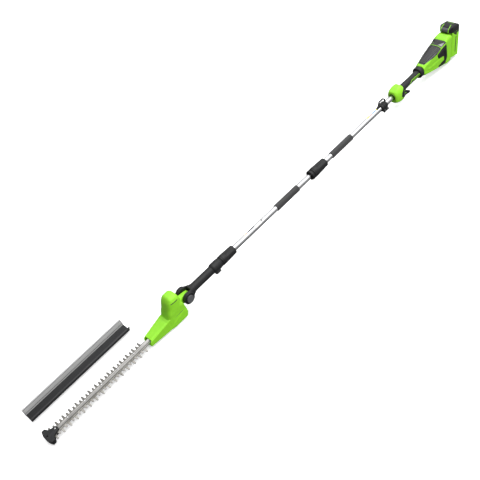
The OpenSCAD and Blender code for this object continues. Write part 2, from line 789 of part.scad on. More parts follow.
// ---------- battery ----------
module battery_case() {
    plan = [[0.4, battery_w / 2 - 3, 3], [10, battery_w / 2, 4], [battery_t - 6, battery_w / 2, 5],
        [battery_t, battery_w / 2 - 8, 5]];
    color(lime) in_place() in_battery() difference() {
        plan_shape(both_sides(plan), 0, case_l);
        for (s = [-1, 1]) slab([-1, s * 24 - 4.5, -1], [5.6, s * 24 + 4.5, case_l + 1]);
        slab([-1, -12, -1], [5.6, 12, case_l + 1]);
        slab([8.4, -33.5, 4], [battery_t - 4, 33.5, case_l - 4]);
        for (y = [-battery_w / 2 - 1, battery_w / 2 + 1]) for (x = [20, 34, 48])
            slab([x, y - 2.4, 6], [x + 3, y + 2.4, case_l - 14]);
    }
}

// Ten round cells lying across the case
module battery_cells() {
    color("steelblue") in_place() in_battery()
        for (i = [0:4]) for (x = [20, 44]) cross(9.2, -32.5, 32.5, x, 20 + i * 22);
}

module battery_cap() {
    side = [[0.5, case_l + 0.05, 0], [-20, case_l, 3], [-20, 152, 8], [4, cap_l, 20], [50, cap_l - 2, 18],
        [battery_t, 148, 9], [battery_t, case_l + 0.05, 0]];
    end = [[battery_w / 2, case_l - 1, 0], [battery_w / 2, cap_l, 16], [-battery_w / 2, cap_l, 16],
        [-battery_w / 2, case_l - 1, 0]];
    plan = [[-20, battery_w / 2 - 11, 8], [0, battery_w / 2, 10], [battery_t - 6, battery_w / 2, 6],
        [battery_t, battery_w / 2 - 8, 4]];
    color(black) in_place() in_battery() difference() {
        intersection() {
            side_shape(side, -battery_w / 2, battery_w / 2);
            plan_shape(both_sides(plan), case_l - 1, cap_l + 1);
            end_shape(end, -21, battery_t + 1);
        }
        slab([-21, -18.4, case_l + 4.6], [-8, 18.4, 158.4]);
    }
}

// Latch button in the cap's front: press it in to free the battery
module battery_latch() {
    color(grey) in_place() in_battery()
        side_shape([[-13, case_l + 5, 0], [-21.4, case_l + 6, 2], [-21.4, 149, 4], [-13, 158, 0]], -18, 18);
}

// ---------- blade sheath ----------
// Open trough, as long as the blade, lying beside it with its mouth up
module blade_sheath() {
    t = 2.2;
    z0 = head_bottom;
    out = [[24, z0, 5], [31.5, z0 + 26, 2], [38, z0 + 28, 1], [38, z0 + 30.6, 1]];
    in_side = [[30, z0 + 29.8, 2], [22, z0 + t, 5]];
    half = concat(out, in_side);
    color(black) in_place() translate([0, sheath_y, 0])
        end_shape(concat(half, [for (i = [len(half) - 1:-1:0]) [-half[i][0], half[i][1], half[i][2]]]),
            sheath_x0, sheath_x1);
}

head_shell_left();
head_shell_right();
head_screws();
gearbox_plate();
motor_can();
gear_bearing();
tilt_ratchet();
blade_bar();
blade_bolts();
tip_guard();
motor_shaft();
pinion();
drive_gear();
eccentric_cams();
upper_blade();
lower_blade();
fork();
pivot_pin();
front_ferrule();
pivot_button();
button_spring();
front_coupling_nut();
mid_tube();
front_foam_grip();
front_stop_collar();
rear_ferrule();
mid_wire();
rear_coupling_nut();
rear_tube();
rear_foam_grip();
rear_stop_collar();
rear_wire();
strap_clamp_upper();
strap_clamp_lower();
clamp_bolts();
pole_bushing();
trigger_housing_left();
trigger_housing_right();
handle_screws();
grip_shell_left();
grip_shell_right();
grip_collar();
powerhead_shell_left();
powerhead_shell_right();
top_vent_cover();
side_vent_left();
side_vent_right();
control_board();
battery_dock();
battery_terminals();
switch_box();
trigger();
trigger_spring();
lock_off_button();
battery_case();
battery_cells();
battery_cap();
battery_latch();
blade_sheath();
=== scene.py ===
import json
import math

import bmesh
import bpy
import numpy as np
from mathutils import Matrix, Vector
from mathutils.bvhtree import BVHTree
from mathutils.geometry import delaunay_2d_cdt


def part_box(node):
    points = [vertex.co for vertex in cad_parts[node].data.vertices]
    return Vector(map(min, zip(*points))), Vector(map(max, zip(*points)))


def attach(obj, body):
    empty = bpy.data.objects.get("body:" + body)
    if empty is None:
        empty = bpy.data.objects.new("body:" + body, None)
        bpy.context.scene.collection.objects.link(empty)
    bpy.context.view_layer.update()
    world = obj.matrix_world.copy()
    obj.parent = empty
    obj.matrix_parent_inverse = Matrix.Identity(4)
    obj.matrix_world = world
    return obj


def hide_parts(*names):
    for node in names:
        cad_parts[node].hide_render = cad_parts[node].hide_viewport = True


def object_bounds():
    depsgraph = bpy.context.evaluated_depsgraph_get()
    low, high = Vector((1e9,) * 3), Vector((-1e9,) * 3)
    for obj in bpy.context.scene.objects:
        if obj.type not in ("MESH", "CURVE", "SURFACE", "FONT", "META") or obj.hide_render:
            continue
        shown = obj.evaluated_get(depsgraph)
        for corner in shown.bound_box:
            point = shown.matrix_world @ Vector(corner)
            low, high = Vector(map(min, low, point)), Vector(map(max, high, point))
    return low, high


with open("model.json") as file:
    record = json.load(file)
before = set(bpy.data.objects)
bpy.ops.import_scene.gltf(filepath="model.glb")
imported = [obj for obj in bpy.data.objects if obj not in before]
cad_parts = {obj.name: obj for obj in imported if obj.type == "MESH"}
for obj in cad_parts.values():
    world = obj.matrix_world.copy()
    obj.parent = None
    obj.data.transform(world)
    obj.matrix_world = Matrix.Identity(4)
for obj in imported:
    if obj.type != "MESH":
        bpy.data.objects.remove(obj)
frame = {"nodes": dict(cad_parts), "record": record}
cad_low, cad_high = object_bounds()
scene = bpy.context.scene

# Lengths below are in millimetres on the pole's axis: x from the first blade tooth back to the
# battery, y to the operator's right, z up.
MM = 0.001
tube_low, tube_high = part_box("mid_tube")
START = np.array([tube_low.x - 930 * MM, 0, (tube_low.z + tube_high.z) / 2])
TUBE_R = (tube_high.z - tube_low.z) / 2 / MM
FLOOR_Z = cad_low.z
PIVOT_X = 748
SIDES = ((-1, "left"), (1, "right"))
DOWN = Vector((0, 0, -1))
ABOVE = 130
BESIDE = 60


def at(x, y, z):
    return Vector((START[0] + x * MM, y * MM, START[2] + z * MM))


# ---------- camera ----------
camera = bpy.data.objects.new("camera", bpy.data.cameras.new("camera"))
scene.collection.objects.link(camera)
camera.location = (-0.0991, -1.9894, 2.3391)
camera.rotation_euler = [math.radians(degrees) for degrees in (43.83, 14.52, -46.11)]
camera.data.lens = 56.41
camera.data.sensor_width = 36
scene.camera = camera
scene.view_settings.view_transform = "Standard"


# ---------- materials ----------
def nodes_for(name):
    """A new material, its node tree and its shader."""
    mat = bpy.data.materials.new(name)
    mat.use_nodes = True
    tree = mat.node_tree
    shader = tree.nodes["Principled BSDF"]
    return mat, tree, shader


def noise(tree, scale, stretch=(1, 1, 1), detail=3.0, kind="ShaderNodeTexNoise"):
    """A noise in metres of the object, squeezed by stretch."""
    coords = tree.nodes.new("ShaderNodeTexCoord")
    mapping = tree.nodes.new("ShaderNodeMapping")
    mapping.inputs["Scale"].default_value = stretch
    tree.links.new(coords.outputs["Object"], mapping.inputs["Vector"])
    texture = tree.nodes.new(kind)
    texture.inputs["Scale"].default_value = scale
    if kind == "ShaderNodeTexNoise":
        texture.inputs["Detail"].default_value = detail
    tree.links.new(mapping.outputs["Vector"], texture.inputs["Vector"])
    return texture


def ramp(tree, source, stops):
    """Colour of source between stops (place, colour)."""
    node = tree.nodes.new("ShaderNodeValToRGB")
    tree.links.new(source, node.inputs["Fac"])
    while len(node.color_ramp.elements) < len(stops):
        node.color_ramp.elements.new(0.5)
    for element, (place, colour) in zip(node.color_ramp.elements, stops):
        element.position = place
        element.color = (*colour, 1)
    return node.outputs["Color"]


def spread(tree, source, low, high):
    """The middle of a noise's range, stretched to low and high."""
    node = tree.nodes.new("ShaderNodeMapRange")
    node.inputs["From Min"].default_value = 0.3
    node.inputs["From Max"].default_value = 0.7
    node.inputs["To Min"].default_value = low
    node.inputs["To Max"].default_value = high
    tree.links.new(source, node.inputs["Value"])
    return node.outputs["Result"]


def bump(tree, source, depth, after=None):
    node = tree.nodes.new("ShaderNodeBump")
    node.inputs["Distance"].default_value = depth
    node.inputs["Strength"].default_value = 1
    tree.links.new(source, node.inputs["Height"])
    if after is not None:
        tree.links.new(after, node.inputs["Normal"])
    return node.outputs["Normal"]


def scaled(colour, k):
    return tuple(min(1, c * k) for c in colour)


def worn_edges(tree, colour_socket, edge_colour, share, low=0.53, high=0.60):
    """Lightens the sharp outer edges, where moulded parts rub."""
    geometry = tree.nodes.new("ShaderNodeNewGeometry")
    mask = tree.nodes.new("ShaderNodeMapRange")
    mask.inputs["From Min"].default_value = low
    mask.inputs["From Max"].default_value = high
    mask.inputs["To Max"].default_value = share
    tree.links.new(geometry.outputs["Pointiness"], mask.inputs["Value"])
    mix = tree.nodes.new("ShaderNodeMix")
    mix.data_type = "RGBA"
    tree.links.new(mask.outputs["Result"], mix.inputs["Factor"])
    tree.links.new(colour_socket, mix.inputs["A"])
    mix.inputs["B"].default_value = (*edge_colour, 1)
    return mix.outputs["Result"]


def moulded(name, colour, rough, grain=700, depth=0.00006, spots=60, coat=0.0, edge=0.25):
    """Moulded plastic: uneven tone, a fine grain, faint scuffs and paler edges."""
    mat, tree, shader = nodes_for(name)
    tone = noise(tree, spots, detail=4)
    base = ramp(tree, tone.outputs["Fac"], [(0.3, scaled(colour, 0.965)), (0.7, scaled(colour, 1.03))])
    base = worn_edges(tree, base, tuple(0.55 * c + 0.30 for c in colour), edge)
    tree.links.new(base, shader.inputs["Base Color"])
    scuffs = noise(tree, 35, stretch=(1, 6, 3), detail=8)
    tree.links.new(spread(tree, scuffs.outputs["Fac"], rough - 0.07, rough + 0.09), shader.inputs["Roughness"])
    fine = noise(tree, grain, detail=2)
    tree.links.new(bump(tree, fine.outputs["Fac"], depth), shader.inputs["Normal"])
    shader.inputs["Coat Weight"].default_value = coat
    shader.inputs["Coat Roughness"].default_value = 0.25
    shader.inputs["IOR"].default_value = 1.42
    return mat


def metal(name, colour, rough, stretch=(1, 1, 1), scale=400, depth=0.00002, stain=None):
    """Bare metal: the marks of its drawing or grinding run across the stretched axis."""
    mat, tree, shader = nodes_for(name)
    marks = noise(tree, scale, stretch=stretch, detail=5)
    cloud = noise(tree, 22, detail=5)
    stained = stain or scaled(colour, 0.86)
    base = ramp(tree, cloud.outputs["Fac"], [(0.34, stained), (0.62, colour), (0.8, scaled(colour, 1.06))])
    tree.links.new(base, shader.inputs["Base Color"])
    tree.links.new(spread(tree, marks.outputs["Fac"], rough - 0.08, rough + 0.12), shader.inputs["Roughness"])
    tree.links.new(bump(tree, marks.outputs["Fac"], depth), shader.inputs["Normal"])
    shader.inputs["Metallic"].default_value = 1
    return mat


def foam(name, colour):
    """Closed-cell foam: round cells of about a millimetre in a matt black skin."""
    mat, tree, shader = nodes_for(name)
    cells = noise(tree, 900, kind="ShaderNodeTexVoronoi")
    tone = noise(tree, 80, detail=6)
    base = ramp(tree, tone.outputs["Fac"], [(0.3, scaled(colour, 0.8)), (0.7, scaled(colour, 1.25))])
    tree.links.new(base, shader.inputs["Base Color"])
    tree.links.new(spread(tree, tone.outputs["Fac"], 0.48, 0.62), shader.inputs["Roughness"])
    pits = bump(tree, cells.outputs["Distance"], 0.00015)
    tree.links.new(bump(tree, tone.outputs["Fac"], 0.0002, pits), shader.inputs["Normal"])
    shader.inputs["Sheen Weight"].default_value = 0.25
    shader.inputs["Sheen Roughness"].default_value = 0.6
    return mat


def printed(name, colour):
    """Vinyl film with a slight print grain."""
    mat, tree, shader = nodes_for(name)
    dots = noise(tree, 1500, detail=1)
    base = ramp(tree, dots.outputs["Fac"], [(0.35, scaled(colour, 0.92)), (0.65, scaled(colour, 1.05))])
    tree.links.new(base, shader.inputs["Base Color"])
    tree.links.new(spread(tree, dots.outputs["Fac"], 0.28, 0.40), shader.inputs["Roughness"])
    return mat


def circuit(name):
    """Circuit board: green lacquer with copper traces."""
    mat, tree, shader = nodes_for(name)
    traces = noise(tree, 420, stretch=(1, 3, 1), kind="ShaderNodeTexVoronoi")
    base = ramp(tree, traces.outputs["Distance"], [(0.15, (0.30, 0.20, 0.05)), (0.22, (0.01, 0.11, 0.03)),
                                                  (0.8, (0.02, 0.20, 0.06))])
    tree.links.new(base, shader.inputs["Base Color"])
    tree.links.new(spread(tree, traces.outputs["Distance"], 0.3, 0.55), shader.inputs["Roughness"])
    return mat


LIME = (0.29, 0.74, 0.032)
lime = moulded("lime_shell", LIME, 0.36, grain=500, depth=0.00003, coat=0.15, edge=0.12)
lime_trim = moulded("lime_trim", scaled(LIME, 0.92), 0.42, grain=800, edge=0.1)
black = moulded("black_plastic", (0.015, 0.0155, 0.0165), 0.38, grain=900, depth=0.00004)
black_gloss = moulded("black_gloss", (0.018, 0.0185, 0.0195), 0.26, grain=900, depth=0.00002, coat=0.3)
grey = moulded("grey_plastic", (0.105, 0.108, 0.115), 0.46, grain=800, depth=0.00006)
# Pale grey that paints a glossy highlight onto the black top insert.
painted_highlight_grey = moulded("painted_highlight_grey", (0.30, 0.30, 0.31), 0.40, grain=800, depth=0.00004)
soft_grip = moulded("soft_grip", (0.020, 0.0205, 0.022), 0.50, grain=1300, depth=0.00012, spots=90, edge=0.1)
sheath_black = moulded("sheath_black", (0.018, 0.0185, 0.020), 0.40, grain=600, depth=0.00006)
sheath_grey = moulded("sheath_grey", (0.42, 0.42, 0.42), 0.50, grain=600, depth=0.00006)
blade_steel = metal("blade_steel", (0.40, 0.39, 0.365), 0.40, stretch=(1, 0.12, 1), scale=900,
                    stain=(0.30, 0.29, 0.265))
bar_steel = metal("bar_steel", (0.55, 0.54, 0.52), 0.32, stretch=(0.05, 1, 1), scale=700)
inner_steel = metal("inner_steel", (0.48, 0.48, 0.49), 0.30, stretch=(1, 1, 0.2), scale=500)
bolt_steel = metal("bolt_steel", (0.82, 0.82, 0.83), 0.20, scale=300)
dark_steel = metal("dark_steel", (0.10, 0.10, 0.105), 0.35, scale=300)
aluminium = metal("pole_aluminium", (0.88, 0.885, 0.90), 0.22, stretch=(0.03, 1, 1), scale=600, depth=0.00001)
brass = metal("brass", (0.80, 0.58, 0.24), 0.28)
foam_black = foam("foam", (0.018, 0.018, 0.019))
cable_black = moulded("cable_jacket", (0.02, 0.02, 0.02), 0.55)
cell_wrap = moulded("cell_wrap", (0.06, 0.14, 0.34), 0.30)
board = circuit("board")
film_white = printed("film_white", (0.78, 0.78, 0.76))
film_dark = printed("film_dark", (0.05, 0.05, 0.055))
film_orange = printed("film_orange", (0.80, 0.42, 0.20))
film_yellow = printed("film_yellow", (0.80, 0.78, 0.09))
film_pink = printed("film_pink", (0.80, 0.42, 0.42))
film_blue = printed("film_blue", (0.30, 0.47, 0.85))
SLOT_OF = {"lime_shell": lime, "black_plastic": black, "grey_plastic": grey, "blade_steel": blade_steel,
           "inner_steel": inner_steel, "bolt_steel": bolt_steel, "pole_aluminium": aluminium,
           "foam": foam_black,
           "brass": brass, "board": board, "cable_jacket": cable_black, "cell_wrap": cell_wrap}
for part in frame["record"]["subparts"]:
    node_mesh = frame["nodes"][part["node"]].data
    node_mesh.materials.clear()
    node_mesh.materials.append(SLOT_OF[part["material_slot"]])
BODY_OF = {n: body for body, names in frame["record"]["behaviour"]["bodies"].items() for n in names}
SLOT_NAME = {part["node"]: part["material_slot"] for part in frame["record"]["subparts"]}


# ---------- mesh helpers ----------
def add_piece(name, mesh, material, body, slot, *nodes, angle=35):
    """Makes the piece, on its body, in place of any CAD nodes named."""
    mesh.materials.clear()
    mesh.materials.append(material)
    mesh.shade_smooth()
    mesh.set_sharp_from_angle(angle=math.radians(angle))
    piece = bpy.data.objects.new(name, mesh)
    scene.collection.objects.link(piece)
    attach(piece, body)
    if nodes:
        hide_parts(*nodes)
    return piece


def to_mesh(bm, name="mesh"):
    mesh = bpy.data.meshes.new(name)
    bm.normal_update()
    bm.to_mesh(mesh)
    bm.free()
    return mesh


def cad_copy(*names):
    """Copy of CAD nodes with their points joined."""
    bm = bmesh.new()
    for n in names:
        bm.from_mesh(frame["nodes"][n].data)
    bmesh.ops.remove_doubles(bm, verts=bm.verts, dist=1e-6)
    return bm


def whole_of(left_node):
    """The closed shape that a left shell and its mirror image make."""
    bm = cad_copy(left_node)
    seam = [f for f in bm.faces if all(abs(v.co.y) < 2e-5 for v in f.verts)]
    bmesh.ops.delete(bm, geom=seam, context="FACES")
    bmesh.ops.mirror(bm, geom=bm.verts[:] + bm.edges[:] + bm.faces[:], merge_dist=2e-5, axis="Y")
    bmesh.ops.recalc_face_normals(bm, faces=bm.faces)
    return bm


def modified(bm, *steps):
    """The mesh after a list of (modifier, settings)."""
    work = bpy.data.objects.new("work", to_mesh(bm))
    scene.collection.objects.link(work)
    for kind, settings in steps:
        modifier = work.modifiers.new(kind, kind)
        for key, value in settings.items():
            setattr(modifier, key, value)
    graph = bpy.context.evaluated_depsgraph_get()
    mesh = bpy.data.meshes.new_from_object(work.evaluated_get(graph))
    old = work.data
    bpy.data.objects.remove(work)
    bpy.data.meshes.remove(old)
    return mesh


def softened(bm, voxel, passes=5):
    """An even mesh of the shape with its edges rounded, fine enough to carve."""
    return modified(bm, ("REMESH", {"mode": "VOXEL", "voxel_size": voxel * MM, "use_smooth_shade": True}),
                    ("SMOOTH", {"factor": 0.5, "iterations": passes}))


def chamfered(bm, width, segments=2):
    """The shape with its sharp edges bevelled."""
    bmesh.ops.dissolve_limit(bm, angle_limit=math.radians(0.5), verts=bm.verts, edges=bm.edges)
    return modified(bm, ("BEVEL", {"width": width * MM, "segments": segments, "limit_method": "ANGLE",
                                   "angle_limit": math.radians(32), "use_clamp_overlap": True}))


def read_points(mesh):
    """Points and normals of a mesh."""
    n = len(mesh.vertices)
    co, normals = np.empty(n * 3), np.empty(n * 3)
    mesh.vertices.foreach_get("co", co)
    mesh.vertex_normals.foreach_get("vector", normals)
    return co.reshape(-1, 3), normals.reshape(-1, 3)


def carve(mesh, change):
    """Moves each point along its normal by change(points in mm, normals), in mm."""
    co, normals = read_points(mesh)
    rise = change((co - START) / MM, normals)
    co = co + normals * (rise * MM)[:, None]
    mesh.vertices.foreach_set("co", co.ravel())
    mesh.update()
    return mesh


def reshape(mesh, change):
    """Moves each point to change(points in mm), in mm."""
    co, _ = read_points(mesh)
    mesh.vertices.foreach_set("co", (change((co - START) / MM) * MM + START).ravel())
    mesh.update()
    return mesh


def halves(mesh, name, material, slot, shell, seam=0.25):
    """Splits a whole along y = 0 into its two shells, with a fine parting line."""
    pieces = []
    for side, hand in SIDES:
        node = f"{shell}_{hand}"
        bm = bmesh.new()
        bm.from_mesh(mesh)
        cut = bmesh.ops.bisect_plane(bm, geom=bm.verts[:] + bm.edges[:] + bm.faces[:], dist=1e-7,
                                     plane_co=(0, side * seam / 2 * MM, 0), plane_no=(0, -side, 0),
                                     clear_outer=True)
        rim = [g for g in cut["geom_cut"] if isinstance(g, bmesh.types.BMEdge)]
        bmesh.ops.triangle_fill(bm, use_beauty=True, edges=rim)
        bmesh.ops.recalc_face_normals(bm, faces=bm.faces)
        pieces.append(add_piece(f"{name}_{hand}", to_mesh(bm), material, BODY_OF[node], slot, node))
    return pieces


def smooth_step(t):
    """0 to 1 as t goes from 0 to 1, level at both ends."""
    t = np.clip(t, 0, 1)
    return t * t * (3 - 2 * t)


def line_distance(u, v, points):
    """Distance from an open line."""
    best = np.full(len(u), 1e9)
    for (a, b), (c, d) in zip(points, points[1:]):
        du, dv = c - a, d - b
        t = np.clip(((u - a) * du + (v - b) * dv) / (du * du + dv * dv), 0, 1)
        best = np.minimum(best, np.hypot(u - a - t * du, v - b - t * dv))
    return best


def area_distance(u, v, outline):
    """Distance from a closed outline, negative inside it."""
    inside = np.zeros(len(u), bool)
    closed = list(outline) + [outline[0]]
    for (a, b), (c, d) in zip(closed, closed[1:]):
        if b != d:
            inside ^= ((b > v) != (d > v)) & (u < (c - a) * (v - b) / (d - b) + a)
    return np.where(inside, -1, 1) * line_distance(u, v, closed)


def raised(distance, soft):
    """1 inside an area and 0 outside it, over a soft edge."""
    return smooth_step(0.5 - distance / soft)


def groove(distance, width):
    """1 along the middle of a groove and 0 beside it."""
    return raised(distance - width / 2, width * 0.6)


def fillet(points, steps=5):
    """Outline from corners (u, v, radius)."""
    out = []
    n = len(points)
    for i, (u, v, r) in enumerate(points):
        b = np.array([u, v], float)
        if r == 0:
            out.append((u, v))
            continue
        a, c = np.array(points[i - 1][:2], float), np.array(points[(i + 1) % n][:2], float)
        p, q = (a - b) / np.linalg.norm(a - b), (c - b) / np.linalg.norm(c - b)
        half = math.acos(np.clip(p @ q, -1, 1)) / 2
        centre = b + (p + q) / np.linalg.norm(p + q) * r / math.sin(half)
        start, end = b + p * r / math.tan(half) - centre, b + q * r / math.tan(half) - centre
        a0 = math.atan2(start[1], start[0])
        turn = (math.atan2(end[1], end[0]) - a0 + math.pi) % (2 * math.pi) - math.pi
        out += [tuple(centre + r * np.array([math.cos(a0 + turn * k / steps), math.sin(a0 + turn * k / steps)]))
                for k in range(steps + 1)]
    return out


def resampled(points, step, closed=True):
    """The same line with points about a step apart."""
    out = []
    ends = list(points) + ([points[0]] if closed else [])
    for (a, b), (c, d) in zip(ends, ends[1:]):
        n = max(1, round(math.hypot(c - a, d - b) / step))
        out += [(a + (c - a) * k / n, b + (d - b) * k / n) for k in range(n)]
    return out if closed else out + [points[-1]]


def lathe(profile, sides=96):
    """Closed outline of (x, radius) turned about the pole's axis."""
    bm = bmesh.new()
    rings = []
    turns = [2 * math.pi * k / sides for k in range(sides)]
    for x, r in profile:
        rings.append([bm.verts.new(at(x, r * math.sin(t), r * math.cos(t))) for t in turns])
    for i, ring in enumerate(rings):
        after = rings[(i + 1) % len(rings)]
        for k in range(sides):
            bm.faces.new((ring[k], ring[(k + 1) % sides], after[(k + 1) % sides], after[k]))
    bmesh.ops.recalc_face_normals(bm, faces=bm.faces)
    return to_mesh(bm)


def wrapped(name, material, body, slot, corners, radius, thick=0.15, columns=12, rows=10, onto=None):
    """Thin patch on a round part, between four corners (x, angle in degrees from the top towards +y)."""
    (xa, ta), (xb, tb), (xc, tc), (xd, td) = corners
    bm = bmesh.new()
    layers = []
    for r in (radius + thick, radius - 0.05):
        grid = []
        for i in range(rows + 1):
            v = i / rows
            row = []
            for k in range(columns + 1):
                u = k / columns
                x = (xa * (1 - u) + xb * u) * (1 - v) + (xd * (1 - u) + xc * u) * v
                t = math.radians((ta * (1 - u) + tb * u) * (1 - v) + (td * (1 - u) + tc * u) * v)
                point = at(x, r * math.sin(t), r * math.cos(t))
                if onto:
                    away = Vector((0, math.sin(t), math.cos(t)))
                    hit = onto.ray_cast(at(x, 0, 0) + away * 40 * MM, -away)[0]
                    point = hit + away * (r - radius) * MM
                row.append(bm.verts.new(point))
            grid.append(row)
        layers.append(grid)
    top, low = layers
    for i in range(rows):
        for k in range(columns):
            for g in (top, low):
                bm.faces.new((g[i][k], g[i][k + 1], g[i + 1][k + 1], g[i + 1][k]))
    rim = [(0, k) for k in range(columns)] + [(i, columns) for i in range(rows)]
    rim += [(rows, k) for k in range(columns, 0, -1)] + [(i, 0) for i in range(rows, 0, -1)]
    for (i, k), (j, m) in zip(rim, rim[1:] + rim[:1]):
        bm.faces.new((top[i][k], top[j][m], low[j][m], low[i][k]))
    bmesh.ops.recalc_face_normals(bm, faces=bm.faces)
    return add_piece(name, to_mesh(bm), material, body, slot)


def surface_of(*pieces):
    """Ray-casting tree of the pieces' meshes."""
    verts, faces = [], []
    for piece in pieces:
        base = len(verts)
        verts += [v.co.copy() for v in piece.data.vertices]
        faces += [[base + i for i in f.vertices] for f in piece.data.polygons]
    return BVHTree.FromPolygons(verts, faces)


def inlay(name, material, body, slot, tree, outline, place, toward, rise=0.6, depth=0.5, step=2.0):
    """Thin panel laid on a surface: place(u, v) gives a point outside it, toward the way to the surface."""
    border = resampled(outline, step)
    us, vs = [p[0] for p in border], [p[1] for p in border]
    grid_u = np.arange(min(us) + step / 2, max(us), step)
    grid_v = np.arange(min(vs) + step / 2, max(vs), step)
    gu, gv = (g.ravel() for g in np.meshgrid(grid_u, grid_v))
    keep = area_distance(gu, gv, outline) < -step * 0.45
    points = [Vector(p) for p in border] + [Vector(p) for p in zip(gu[keep], gv[keep])]
    n = len(border)
    flat, _, triangles, *_ = delaunay_2d_cdt(points, [(i, (i + 1) % n) for i in range(n)], [], 1, 1e-6)
    bm = bmesh.new()
    top, low = [], []
    for i, p in enumerate(flat):
        start = place(p.x, p.y)
        hit, normal, *_ = tree.ray_cast(start, toward)
        if hit is None:
            hit, normal, *_ = tree.find_nearest(start)
        if normal.dot(toward) > 0:
            normal = -normal
        edge = 0.35 if i < n else 1.0
        top.append(bm.verts.new(hit + normal * rise * edge * MM))
        low.append(bm.verts.new(hit - normal * depth * MM))
    for t in triangles:
        bm.faces.new([top[i] for i in t])
        bm.faces.new([low[i] for i in reversed(t)])
    bm.edges.ensure_lookup_table()
    under = dict(zip(top, low))
    for e in [e for e in bm.edges if len(e.link_faces) == 1 and e.verts[0] in under]:
        a, b = e.verts
        bm.faces.new((a, b, under[b], under[a]))
    bmesh.ops.recalc_face_normals(bm, faces=bm.faces)
    return add_piece(name, to_mesh(bm), material, body, slot, angle=50)


def from_side(side, place=at, beside=BESIDE):
    """Where a panel on one side starts from, and the way to the surface, for inlay."""
    return lambda u, v: place(u, side * beside, v), Vector((0, -side, 0))


def from_top(u, v):
    return at(u, v, ABOVE)


def replace_soft(node, material, voxel, passes=4, change=None, name=None):
    """Rounds a CAD node's edges and puts the result in its place."""
    mesh = softened(cad_copy(node), voxel, passes)
    if change:
        carve(mesh, change)
    return add_piece(name or f"{node}_shape", mesh, material, BODY_OF[node], SLOT_NAME[node], node)


def replace_bevel(node, material, width):
    """Bevels a CAD node's edges and puts the result in its place."""
    return add_piece(f"{node}_shape", chamfered(cad_copy(node), width), material, BODY_OF[node],
                     SLOT_NAME[node], node)


# ---------- cutter head ----------
def head_detail(p, n):
    """Side panel lines, the raised nose and the knurled ear."""
    x, y, z = p.T
    side = smooth_step((np.abs(n[:, 1]) - 0.35) * 3)
    top = smooth_step((n[:, 2] - 0.35) * 3)
    lower = [(606, -76), (622, -54), (644, -42), (702, -25), (718, -40), (706, -76)]
    rise = -0.9 * groove(line_distance(x, z, [(640, -30), (655, -25), (700, -22)]), 2.0) * side
    rise -= 1.2 * (1 - raised(area_distance(x, z, lower), 6)) * side * (x > 615) * smooth_step((12 - z) / 30)
    rise -= 0.9 * groove(line_distance(x, z, [(637, 9), (690, 4)]), 2.4) * side
    rise -= 0.7 * groove(line_distance(x, z, [(648, 62), (697, 62), (704, 30), (706, -10)]), 2) * side
    half = 12 + np.clip(x - 520, 0, 90) * 0.13
    plateau = raised(np.abs(y) - half, 3) * smooth_step((612 - x) / 12) * smooth_step((x - 520) / 6)
    rise -= 1.3 * (1 - plateau) * top * smooth_step((622 - x) / 12) * smooth_step((x - 520) / 6)
    ear = np.hypot(x - PIVOT_X, z)
    ribs = 0.5 + 0.5 * np.cos(np.arctan2(z, x - PIVOT_X) * 30)
    rise -= 0.6 * ribs * smooth_step((ear - 19) / 1.5) * (x > 738) * (np.abs(n[:, 1]) < 0.5)
    return rise


def round_tower(p):
    """Rounds the tower's top and upright edges into one soft form."""
    x, y, z = p.T
    shoulder, peak, half_width, power = 34, 75, 33, 3.6
    front = 630 + 0.388 * (z - 8)
    back = 717 - 0.06 * (z + 48)
    middle, reach = (front + back) / 2, (back - front) / 2
    rise = np.clip((z - shoulder) / (peak - shoulder), 0, 1)
    norm = (np.abs((x - middle) / reach) ** power + np.abs(y / half_width) ** power
            + rise ** power) ** (1 / power)
    share = smooth_step((z - 4) / 22)
    shrink = 1 + share * (1 / np.maximum(norm, 1) - 1)
    lowered = (np.maximum(z, shoulder) - shoulder) * (1 - shrink)
    return np.stack([middle + (x - middle) * shrink, y * shrink, z - lowered], axis=1)


head = reshape(softened(whole_of("head_shell_left"), 1.15, 16), round_tower)
head_skin = surface_of(*halves(carve(head, head_detail), "head_cover", lime, "lime_shell", "head_shell"))
# Painted shade: black strips stand in for the shade inside the vent slot and along the side groove.
for side, hand in SIDES:
    for name, outline in (("vent", [(659, 51), (695, 49.4), (695, 53.2), (659, 54.8)]),
                          ("line", [(653, -25.6), (699, -23.4), (699, -22), (653, -24.2)])):
        inlay(f"head_{name}_{hand}", black, "cutter_head", "black_plastic", head_skin, outline,
              *from_side(side), 0.15, 0.5, 1.2)
for node, material, width in (("blade_bar", bar_steel, 0.5), ("blade_bolts", bolt_steel, 0.35),
                              ("upper_blade", blade_steel, 0.35), ("lower_blade", blade_steel, 0.35)):
    replace_bevel(node, material, width)
replace_soft("tip_guard", black, 0.7, 5)


# ---------- fork, couplings and tilt lock ----------
def fork_detail(p, n):
    """Ring round the pivot and two lines along the neck."""
    x, y, z = p.T
    ear = np.hypot(x - PIVOT_X, z)
    side = smooth_step((np.abs(n[:, 1]) - 0.5) * 4)
    ring = -0.7 * groove(np.abs(ear - 21.5), 1.6) * side
    spine = -0.6 * groove(np.abs(np.abs(z) - 9), 1.8) * raised(np.abs(x - 852) - 46, 4)
    spine *= smooth_step((np.abs(y) - 10) / 4)
    return ring + spine


def flutes(x0, x1, count, depth):
    """Grip flutes along a round nut."""
    def change(p, n):
        x, y, z = p.T
        wave = 0.5 + 0.5 * np.cos(np.arctan2(y, z) * count)
        out = smooth_step((n[:, 1] * y + n[:, 2] * z) / np.maximum(np.hypot(y, z), 1) * 3 - 1)
        return -depth * wave ** 3 * raised(np.abs(x - (x0 + x1) / 2) - (x1 - x0) / 2, 5) * out
    return change


